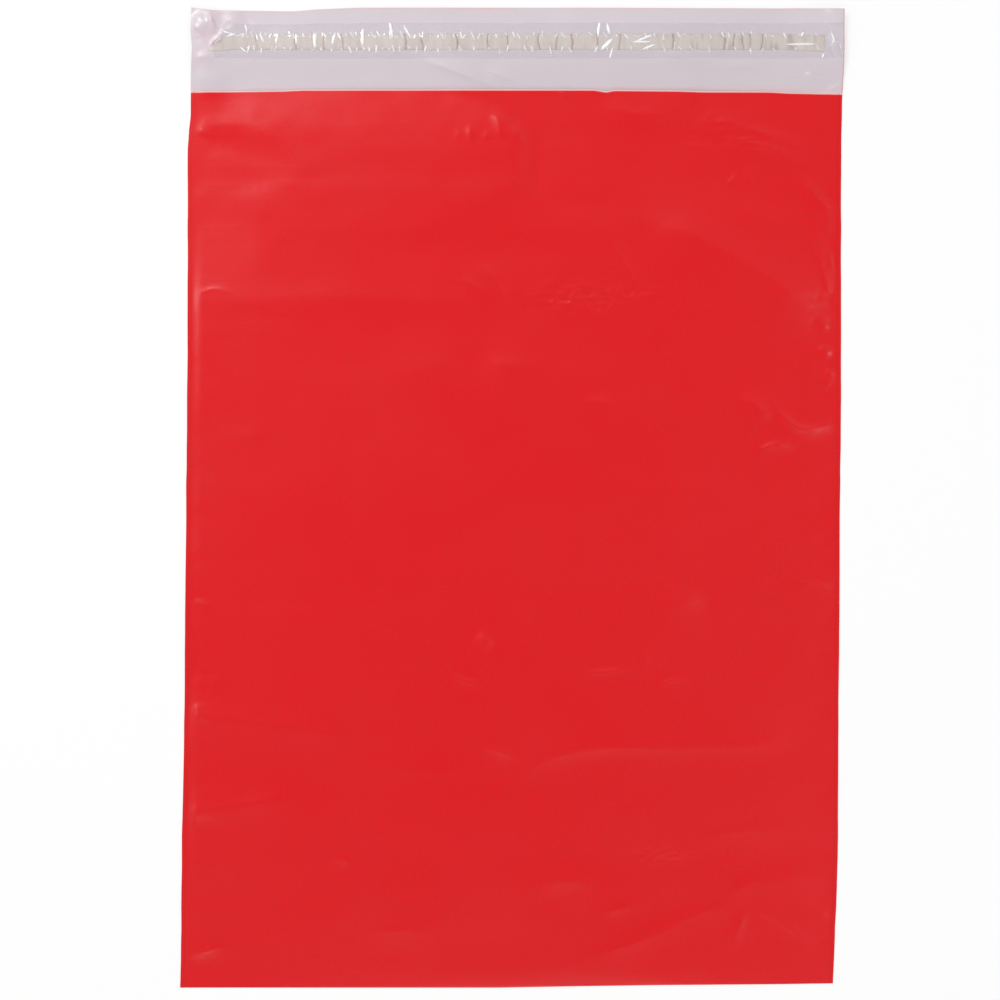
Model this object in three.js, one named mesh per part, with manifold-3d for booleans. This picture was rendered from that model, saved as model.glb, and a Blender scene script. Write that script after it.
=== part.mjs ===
// A red poly mailer bag lying flat and empty, with its flap open. Millimetres, +Z up, +Y towards the flap.
// One folded film makes the back panel, the bottom fold, the front panel and the flap, and a weld along
// each side closes the pocket. A hot-melt strip on the flap is covered by a clear release liner.
import * as THREE from "three";
import { mergeVertices } from "three/addons/utils/BufferGeometryUtils.js";
import Module from "manifold-3d";

const wasm = await Module();
wasm.setup();

// Sizes of the bag
const bagWidth = 320;
const bodyLength = 440; // from the bottom fold to the mouth
const flapLength = 40; // from the mouth to the flap's cut edge
const filmGauge = 0.06;
const sideWeld = 2; // width of the band where the two films are melted together

// The air space between the two films as the empty bag lies flat
const airDepth = 2.4; // in the middle of the bag
const foldDepth = 0.5; // inside the bottom fold
const mouthDepth = 1; // under the lip of the front panel
const weldRoot = 0.02; // where the films leave a side weld
const pinchRun = 70; // how far from a weld the front panel goes on rising
const endRun = 150; // how far from the fold or the mouth it goes on rising

// The hot-melt strip and its liner, on the inner face of the flap
const stripFromEdge = 16.2; // from the flap's cut edge to the middle of both
const glueWidth = 7.5;
const glueThickness = 0.15;
const glueCorner = 1.5;
const glueInsetLeft = 14.7; // bare film between a side edge and the end of the strip
const glueInsetRight = 11.3;
const linerWidth = 18;
const linerGauge = 0.05;
const linerEase = 1; // how far past the strip the liner stays raised
const linerDrop = 2.5; // run in which it then comes down to the film

// How finely the curves are cut
const acrossSteps = 28;
const alongSteps = 22;
const foldSteps = 8;
const cornerSteps = 5;
const sameSpot = 1e-4; // points closer than this are one point

const halfWidth = bagWidth / 2;
const halfLength = (bodyLength + flapLength) / 2;
const foldY = -halfLength;
const mouthY = foldY + bodyLength;
const flapEdgeY = halfLength;
const stripY = flapEdgeY - stripFromEdge;

const filmMaterial = new THREE.MeshStandardMaterial({ color: 0xdb262a, roughness: 0.32, metalness: 0 });
const glueMaterial = new THREE.MeshStandardMaterial({ color: 0xcec3be, roughness: 0.5, metalness: 0 });
const linerMaterial = new THREE.MeshStandardMaterial({
  color: 0xe6e4e8,
  roughness: 0.12,
  metalness: 0,
  transparent: true,
  opacity: 0.35,
});

function named(name, geometry, material) {
  const mesh = new THREE.Mesh(geometry, material);
  mesh.name = name;
  return mesh;
}

// A closed geometry through rings of equally many points, one ring at each place along X.
// A ring runs anticlockwise as it is seen from +X.
function loft(rings) {
  const points = rings.flat();
  const count = rings[0].length;
  const index = [];
  for (let ring = 0; ring < rings.length - 1; ring++) {
    for (let k = 0; k < count; k++) {
      const a = ring * count + k;
      const b = ring * count + ((k + 1) % count);
      index.push(a, b, a + count, b, b + count, a + count);
    }
  }
  const caps = [
    [0, true],
    [rings.length - 1, false],
  ];
  for (const [ring, flip] of caps) {
    const outline = rings[ring].map((p) => new THREE.Vector2(p.y, p.z));
    for (const [a, b, c] of THREE.ShapeUtils.triangulateShape(outline, [])) {
      const corner = flip ? [a, c, b] : [a, b, c];
      index.push(...corner.map((k) => ring * count + k));
    }
  }
  const geometry = new THREE.BufferGeometry().setFromPoints(points);
  geometry.setIndex(index);
  return geometry;
}

function solid(geometry) {
  const bare = geometry.clone();
  bare.deleteAttribute("normal");
  bare.deleteAttribute("uv");
  const merged = mergeVertices(bare, sameSpot);
  return new wasm.Manifold(
    new wasm.Mesh({
      numProp: 3,
      vertProperties: merged.attributes.position.array,
      triVerts: new Uint32Array(merged.index.array),
    }),
  );
}

function geometryOf(manifold) {
  const { vertProperties, triVerts } = manifold.getMesh();
  const geometry = new THREE.BufferGeometry();
  geometry.setAttribute("position", new THREE.BufferAttribute(vertProperties, 3));
  geometry.setIndex(new THREE.BufferAttribute(triVerts, 1));
  geometry.computeVertexNormals();
  return geometry;
}

// Places from low to high, closer together towards both ends.
function stations(low, high, steps) {
  const places = [];
  for (let k = 0; k <= steps; k++) {
    const share = (1 - Math.cos((Math.PI * k) / steps)) / 2;
    places.push(low + (high - low) * share);
  }
  return places;
}

// 0 at an edge, rising to 1 at a run from it, as a taut film does between its seams.
function rise(distance, run) {
  return Math.sin((Math.PI / 2) * Math.min(1, Math.max(0, distance / run)));
}

// Clear height between the two films at a place in the bag, and none out on a weld.
function airSpace(x, y) {
  const fromWeld = halfWidth - sideWeld - Math.abs(x);
  if (fromWeld < -sideWeld / 2) {
    return 0;
  }
  const fromFold = rise(y - foldY, endRun);
  const fromMouth = rise(mouthY - y, endRun);
  const nearEnd = y < (foldY + mouthY) / 2 ? foldDepth : mouthDepth;
  const ridge = nearEnd + (airDepth - nearEnd) * Math.min(fromFold, fromMouth);
  return weldRoot + (ridge - weldRoot) * rise(fromWeld, pinchRun);
}

// The bag at one place along X, from the mouth along the bottom, round the fold and along the top back to
// the mouth. The skin is how far these points lie outside the air: the gauge, or 0 for the air itself.
function pocketPath(x, skin) {
  const foldRadius = airSpace(x, foldY) / 2;
  const centreY = foldY + filmGauge + foldRadius;
  const centreZ = filmGauge + foldRadius;
  const radius = foldRadius + skin;
  const alongY = stations(centreY, mouthY, alongSteps).slice(1);
  const bottom = alongY.map((y) => new THREE.Vector3(x, y, filmGauge - skin)).reverse();
  const top = alongY.map((y) => new THREE.Vector3(x, y, filmGauge + airSpace(x, y) + skin));
  const fold = [];
  for (let k = 0; k <= foldSteps; k++) {
    const angle = -Math.PI / 2 - (Math.PI * k) / foldSteps;
    fold.push(new THREE.Vector3(x, centreY + radius * Math.cos(angle), centreZ + radius * Math.sin(angle)));
  }
  return [...bottom, ...fold, ...top];
}

// The bag's outer form, filled: the pocket, and one film going on past the mouth as the flap.
function outerRing(x) {
  const flap = [
    new THREE.Vector3(x, mouthY, filmGauge),
    new THREE.Vector3(x, flapEdgeY, filmGauge),
    new THREE.Vector3(x, flapEdgeY, 0),
  ];
  return [...pocketPath(x, filmGauge), ...flap].reverse();
}

// The air in the pocket, which goes on out of the mouth.
function airRing(x) {
  const beyond = mouthY + flapLength / 2;
  const outside = [
    new THREE.Vector3(x, beyond, filmGauge + airSpace(x, mouthY)),
    new THREE.Vector3(x, beyond, filmGauge),
  ];
  return [...pocketPath(x, 0), ...outside].reverse();
}

// The folded film is what the outer form holds besides the air. The two films are one solid at the welds.
function bagFilm() {
  const between = stations(-halfWidth + sideWeld, halfWidth - sideWeld, acrossSteps);
  const whole = [-halfWidth, ...between, halfWidth];
  const outer = solid(loft(whole.map(outerRing)));
  const air = solid(loft(between.map(airRing)));
  return geometryOf(outer.subtract(air));
}

// A flat ribbon of glue with rounded corners.
function adhesiveStrip() {
  const left = -halfWidth + glueInsetLeft;
  const right = halfWidth - glueInsetRight;
  const half = glueWidth / 2;
  const corner = Math.min(glueCorner, half);
  const outline = new THREE.Shape();
  outline.moveTo(left + corner, -half);
  outline.absarc(right - corner, -half + corner, corner, -Math.PI / 2, 0);
  outline.absarc(right - corner, half - corner, corner, 0, Math.PI / 2);
  outline.absarc(left + corner, half - corner, corner, Math.PI / 2, Math.PI);
  outline.absarc(left + corner, -half + corner, corner, Math.PI, 1.5 * Math.PI);
  const ribbon = new THREE.ExtrudeGeometry(outline, {
    depth: glueThickness,
    bevelEnabled: false,
    curveSegments: cornerSteps,
  });
  const merged = mergeVertices(ribbon.deleteAttribute("uv").deleteAttribute("normal"), sameSpot);
  merged.computeVertexNormals();
  return merged;
}

// The liner's section at one place along X: down on the film at both margins, up over the glue between.
function linerRing(x, lift) {
  const crown = glueWidth / 2 + linerEase;
  const margin = linerWidth / 2 - crown;
  const foot = crown + Math.min(linerDrop, margin / 2);
  const outline = [
    [-linerWidth / 2, 0],
    [-foot, 0],
    [-crown, lift],
    [crown, lift],
    [foot, 0],
    [linerWidth / 2, 0],
  ];
  const under = outline.map(([y, z]) => new THREE.Vector3(x, y, z));
  const over = outline.map(([y, z]) => new THREE.Vector3(x, y, z + linerGauge)).reverse();
  return [...under, ...over];
}

function releaseLiner() {
  const glueLeft = -halfWidth + glueInsetLeft;
  const glueRight = halfWidth - glueInsetRight;
  return loft([
    linerRing(-halfWidth, 0),
    linerRing(glueLeft - linerEase - linerDrop, 0),
    linerRing(glueLeft - linerEase, glueThickness),
    linerRing(glueRight + linerEase, glueThickness),
    linerRing(glueRight + linerEase + linerDrop, 0),
    linerRing(halfWidth, 0),
  ]);
}

const film = named("bag_film", bagFilm(), filmMaterial);
const glue = named("adhesive_strip", adhesiveStrip(), glueMaterial);
glue.position.set(0, stripY, filmGauge);
const liner = named("release_liner", releaseLiner(), linerMaterial);
liner.position.set(0, stripY, filmGauge);

const mailer = new THREE.Group();
mailer.add(film, glue, liner);

export default mailer;
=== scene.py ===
import math
import bpy
import numpy as np
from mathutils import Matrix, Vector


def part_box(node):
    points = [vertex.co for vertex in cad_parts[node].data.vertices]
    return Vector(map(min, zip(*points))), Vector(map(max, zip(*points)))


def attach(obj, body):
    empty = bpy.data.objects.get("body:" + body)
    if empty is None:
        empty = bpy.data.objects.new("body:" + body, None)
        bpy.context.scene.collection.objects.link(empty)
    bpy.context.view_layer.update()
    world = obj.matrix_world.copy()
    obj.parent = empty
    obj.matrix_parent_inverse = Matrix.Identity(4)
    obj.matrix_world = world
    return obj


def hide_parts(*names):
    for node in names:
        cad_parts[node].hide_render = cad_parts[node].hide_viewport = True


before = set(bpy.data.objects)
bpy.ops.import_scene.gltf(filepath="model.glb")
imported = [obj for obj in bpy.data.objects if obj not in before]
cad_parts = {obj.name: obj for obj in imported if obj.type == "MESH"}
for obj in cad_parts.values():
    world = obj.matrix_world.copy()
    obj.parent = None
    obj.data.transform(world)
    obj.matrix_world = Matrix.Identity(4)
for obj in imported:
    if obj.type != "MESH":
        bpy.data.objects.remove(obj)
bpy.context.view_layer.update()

# A red poly mailer, lying empty with its flap open. Places and sizes below are in millimetres on the bag:
# x from its middle to the right, y from its middle towards the flap, z up from the table.
scene = bpy.context.scene
mm = 0.001


def boxInMm(node):
    low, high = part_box(node)
    return [v / mm for v in low], [v / mm for v in high]


filmLow, filmHigh = boxInMm("bag_film")
linerLow, linerHigh = boxInMm("release_liner")
glueLow, glueHigh = boxInMm("adhesive_strip")

bag = {
    "halfWidth": (filmHigh[0] - filmLow[0]) / 2,
    "foldY": filmLow[1],
    "flapEdgeY": filmHigh[1],
    "flapLength": 40.0,
    "gauge": 0.06,
    "weldWidth": 2.0,
    "airDepth": 1.4,         # between the panels, in the middle
    "foldGap": 0.5,          # inside the bottom fold
    "mouthGap": 0.8,         # under the lip
    "touching": 0.07,        # left between two films that lie on each other
}
mouthY = bag["flapEdgeY"] - bag["flapLength"]
print("frame loaded")


# Curves and noise

def softStep(low, high, value):
    share = np.clip((value - low) / (high - low), 0, 1)
    return share * share * (3 - 2 * share)


def rise(distance, run):
    return np.sin(np.pi / 2 * np.clip(distance / run, 0, 1))


def rises(distance, parts):
    # rises added up, each with its share and its run
    return sum(share * rise(distance, run) for share, run in parts)


def smoothest(t):
    return t * t * t * (t * (t * 6 - 15) + 10)


noise = {
    "cells": 64,             # the hills repeat after this many
    "shift": (640.37, 640.71),
}


def hills(x, y, sizeX, sizeY, seed):
    # soft seeded noise between -1 and 1, with hills of about this size
    cells = noise["cells"]
    grid = np.random.RandomState(seed).uniform(-1, 1, (cells, cells))
    u = x / sizeX + noise["shift"][0]
    v = y / sizeY + noise["shift"][1]
    i = np.floor(u).astype(int)
    j = np.floor(v).astype(int)
    fu = smoothest(u - i)
    fv = smoothest(v - j)
    i0, i1, j0, j1 = i % cells, (i + 1) % cells, j % cells, (j + 1) % cells
    low = grid[i0, j0] * (1 - fu) + grid[i1, j0] * fu
    high = grid[i0, j1] * (1 - fu) + grid[i1, j1] * fu
    return low * (1 - fv) + high * fv


def curveThrough(points, cuts=5):
    # a smooth line through a few points
    if len(points) < 3:
        return points
    p = [np.array(q, float) for q in points]
    p = [2 * p[0] - p[1]] + p + [2 * p[-1] - p[-2]]
    line = []
    for a, b, c, d in zip(p, p[1:], p[2:], p[3:]):
        for k in range(cuts):
            t = k / cuts
            line.append(tuple(0.5 * (2 * b + (c - a) * t + (2 * a - 5 * b + 4 * c - d) * t * t
                                     + (3 * b - a - 3 * c + d) * t ** 3)))
    line.append(tuple(points[-1]))
    return line


def nearLine(x, y, line):
    # distance from a line, the side it is on (left of its direction is positive) and how far along it
    best = np.full(x.shape, np.inf)
    side = np.zeros(x.shape)
    along = np.zeros(x.shape)
    start = 0.0
    for (ax, ay), (bx, by) in zip(line, line[1:]):
        dx, dy = bx - ax, by - ay
        length = math.hypot(dx, dy)
        t = np.clip(((x - ax) * dx + (y - ay) * dy) / length ** 2, 0, 1)
        ex, ey = x - ax - t * dx, y - ay - t * dy
        distance = np.hypot(ex, ey)
        closer = distance < best
        best = np.where(closer, distance, best)
        side = np.where(closer, np.sign(dx * ey - dy * ex), side)
        along = np.where(closer, start + t * length, along)
        start += length
    return best, side, along, start


creaseEnd = {
    "share": 0.45,           # of its length, over which a crease fades at each end
    "longest": 32,           # but over no more than this
    "widths": 5,             # its sides are left out beyond this many widths
}


def crease(x, y, points, height, left, right, crest):
    # a ridge, or a valley if height is negative, that falls off over its left and right widths
    z = np.zeros(x.shape)
    line = curveThrough(points)
    reach = creaseEnd["widths"] * max(left, right) + crest
    xs = [p[0] for p in line]
    ys = [p[1] for p in line]
    near = (x > min(xs) - reach) & (x < max(xs) + reach) & (y > min(ys) - reach) & (y < max(ys) + reach)
    if not near.any():
        return z
    distance, side, along, total = nearLine(x[near], y[near], line)
    width = np.where(side > 0, left, right)
    profile = np.exp(-(np.hypot(distance, crest) - crest) / width)
    fade = min(creaseEnd["share"] * total, creaseEnd["longest"])
    ends = softStep(0, fade, along) * softStep(0, fade, total - along)
    z[near] = height * profile * ends
    return z


def spot(x, y, centre, radii):
    return np.exp(-((x - centre[0]) / radii[0]) ** 2 - ((y - centre[1]) / radii[1]) ** 2)


def crumple(x, y, centre, radii, height, grain, seed):
    # a patch of sharp little facets: two layers of ridges that lean opposite ways
    one = 1 - 2 * np.abs(hills(x + 0.6 * y, y, grain[0], grain[1], seed))
    two = 1 - 2 * np.abs(hills(x - 0.5 * y, y, grain[0] * 0.6, grain[1] * 0.7, seed + 1))
    return height * spot(x, y, centre, radii) * (0.7 * one + 0.45 * two)


# The bag's outline isn't quite square: it leans, and its edges wander by a millimetre or two.
# Each pair is a place along the edge and how far the edge lies there.
outline = {
    "leftEdge": [(-241, -163.0), (-228, -162.5), (-168, -162.0), (-129, -161.0), (-70, -160.5),
                 (-11, -160.0), (77, -159.2), (172, -159.1), (180, -158.6), (186, -157.7),
                 (205, -157.6), (221, -156.9), (228, -157.6), (241, -157.2)],
    "rightEdge": [(-241, 157.5), (-227, 158.0), (-203, 159.0), (-178, 159.9), (-129, 160.0), (-70, 160.5),
                  (3, 161.0), (28, 161.4), (165, 161.5), (195, 162.0), (208, 162.7), (241, 162.7)],
    "foldEdge": [(-160, -0.8), (-5, -0.8), (35, -0.1), (70, 0.4), (135, 0.9), (160, 1.3)],
    "flapEdge": [(-160, 0.1), (-150, -1.2), (-110, -1.7), (-100, -0.8), (-78, 0.1), (30, 0.1), (140, -0.4),
                 (160, -0.9)],
    "mouthEdge": [(-160, -1.2), (-115, -0.7), (-105, -0.2), (38, -0.2), (44, -1.2), (48, -0.4), (80, -0.7),
                  (89, -1.1), (124, -1.1), (133, -1.6), (160, -2.1)],
}


outlineEase = {
    "wobble": 0.12,          # of the side edges
    "wobbleSize": 9,
    "wobbleFrom": (120, 160),
    "foldReach": 60,         # how far in from the fold and the flap's edge the film gives way
    "flapReach": 14,
}


def edgeAt(name, place):
    points = outline[name]
    return np.interp(place, [p[0] for p in points], [p[1] for p in points])


def onOutline(x, y):
    # moves a place on the square bag to where it lies on the real, leaning one
    share = (x + bag["halfWidth"]) / (2 * bag["halfWidth"])
    newX = edgeAt("leftEdge", y) * (1 - share) + edgeAt("rightEdge", y) * share
    size = outlineEase["wobbleSize"]
    wobble = outlineEase["wobble"] * hills(y, x * 0, size, size, 71)
    newX = newX + wobble * np.sign(x) * softStep(*outlineEase["wobbleFrom"], np.abs(x))
    fromFold = np.clip((y - bag["foldY"]) / outlineEase["foldReach"], 0, 1)
    fromFlap = np.clip((bag["flapEdgeY"] - y) / outlineEase["flapReach"], 0, 1)
    newY = y + edgeAt("foldEdge", x) * (1 - fromFold) + edgeAt("flapEdge", x) * (1 - fromFlap)
    return newX, newY


# The back panel and the flap

backFolds = {
    "cornerRidge": ([(-151.5, 241), (-149.5, 233), (-147.3, 226)], 2.6, 1.1, 2.6, 0.35),
    "cornerHook": ([(-151.6, 221.6), (-148.4, 222.5), (-145.5, 224.4), (-145.4, 228)], 1.3, 0.9, 0.5, 0.25),
    "cornerFold": ([(-160.5, 232.5), (-156, 229), (-152, 226)], 1.1, 2.4, 0.7, 0.3),
    "cornerSwell": ([(-160, 237), (-155, 233), (-151, 229)], 1.2, 3.5, 3.0, 1.5),
    "cornerTuck": ([(-146, 229.6), (-142.5, 228), (-140, 226.6)], 0.9, 0.6, 0.9, 0.2),
    "topDent": ([(-146, 238), (-139, 234), (-132, 229)], 0.9, 3.0, 4.0, 1.5),
    "topDentTwo": ([(-138, 241), (-133, 236), (-130, 231)], -0.5, 2.0, 2.5, 1.0),
    "leftEdgeFold": ([(-160, 214), (-154, 216), (-147, 215)], 0.7, 2.0, 2.0, 0.6),
    "leftMouthSwell": ([(-161, 209), (-152, 205), (-140, 202)], 1.1, 6.0, 6.0, 2.5),
    "middleFold": ([(-53, 215.5), (-38, 211.5), (-18, 204), (-4, 200)], 1.5, 5.0, 1.3, 0.6),
    "middleFoldTwo": ([(-18, 211), (-8, 206.5), (2, 203)], 0.8, 2.5, 1.2, 0.5),
    "rightSwell": ([(58, 214), (84, 215), (112, 210)], 1.7, 5.0, 4.0, 2.0),
    "rightDent": ([(96, 208), (112, 212), (124, 206)], 0.9, 3.0, 3.5, 1.2),
    "rightCrease": ([(140, 207.4), (144, 207.2), (149.5, 204.6)], 1.0, 0.8, 1.4, 0.25),
    "rightCreaseTail": ([(128, 209), (136, 206), (141, 207)], 0.35, 1.2, 1.6, 0.4),
    "rightEdgeFold": ([(152, 226), (157, 218), (161, 211)], 0.9, 2.2, 1.2, 0.4),
    "rightEdgeTop": ([(150, 241), (156, 236), (161, 231)], 0.8, 3.0, 2.0, 0.8),
    "rightMouthTuck": ([(151, 198), (156, 200.5), (160, 204)], 0.7, 1.2, 1.5, 0.3),
}


backCrumples = [
    # centre, radii, height, grain, seed
    ((-150, 231), (9, 11), 0.3, (7, 6), 17),
    ((154, 214), (6, 18), 0.22, (6, 7), 19),
]
backLie = {
    "lowest": 0.10,
    "waves": 0.09,
    "waveEnd": 20,           # how far in from the sides the waves reach their height
    "sideLift": (0.35, 0.3), # how far the side edges stand up, and how much that changes
    "sideReach": 9,
    "clearance": 0.005,      # over the table
}
flapLie = {
    "from": (-30, 6),        # its own relief sets in here, from the lip
    "level": 0.2,
    "hump": (0.9, 0.3),      # its height under the glue, and how much that changes
    "humpY": 221,
    "humpWander": 3,
    "humpWidth": 10,
    "waves": 0.22,
    "ripples": 0.10,
    "rightLift": 2.2,        # the right end stands up
    "rightFrom": (118, 162),
    "rightShape": 1.5,
    "rightRun": (-4, 26),    # from the lip
    "leftLift": 0.5,
    "leftFrom": (-140, -160),
    "leftRun": (-5, 20),
    "curl": 0.35,            # along the cut edge
    "curlReach": 9,
    "curlChange": (0.5, 0.6),
}


def changing(pair, hill):
    # a value that changes with the hills: its middle, and how much it changes
    return pair[0] + pair[1] * hill


def fromLip(pair):
    return [mouthY + distance for distance in pair]


def backHeight(x, y):
    # middle of the lower film
    onFlap = softStep(*fromLip(flapLie["from"]), y)
    fromSide = bag["halfWidth"] - np.abs(x)
    waves = backLie["waves"] * (1 + hills(x, y, 60, 45, 11))
    z = backLie["lowest"] + waves * rise(fromSide, backLie["waveEnd"])
    sideLift = changing(backLie["sideLift"], hills(x * 0 + np.sign(x) * 40, y, 1, 30, 12))
    z = z + sideLift * np.exp(-fromSide / backLie["sideReach"])
    fromHump = y - flapLie["humpY"] - flapLie["humpWander"] * hills(x, y * 0, 60, 1, 18)
    hump = np.exp(-(fromHump / flapLie["humpWidth"]) ** 2)
    flap = flapLie["level"] + hump * changing(flapLie["hump"], hills(x, y, 70, 60, 14))
    flap = flap + flapLie["waves"] * hills(x, y, 34, 16, 15)
    flap = flap + flapLie["ripples"] * hills(x, y, 11, 8, 13)
    right = softStep(*flapLie["rightFrom"], x) ** flapLie["rightShape"]
    flap = flap + flapLie["rightLift"] * right * softStep(*fromLip(flapLie["rightRun"]), y)
    left = softStep(*flapLie["leftFrom"], x)
    flap = flap + flapLie["leftLift"] * left * softStep(*fromLip(flapLie["leftRun"]), y)
    curl = flapLie["curl"] * softStep(flapLie["curlReach"], 0, bag["flapEdgeY"] - y)
    flap = flap + curl * changing(flapLie["curlChange"], hills(x, y, 24, 30, 16))
    for fold in backFolds.values():
        flap = flap + crease(x, y, *fold)
    for patch in backCrumples:
        flap = flap + crumple(x, y, *patch)
    return np.maximum(z + np.maximum(flap, 0) * onFlap, bag["gauge"] / 2 + backLie["clearance"])


# The front panel

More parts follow.
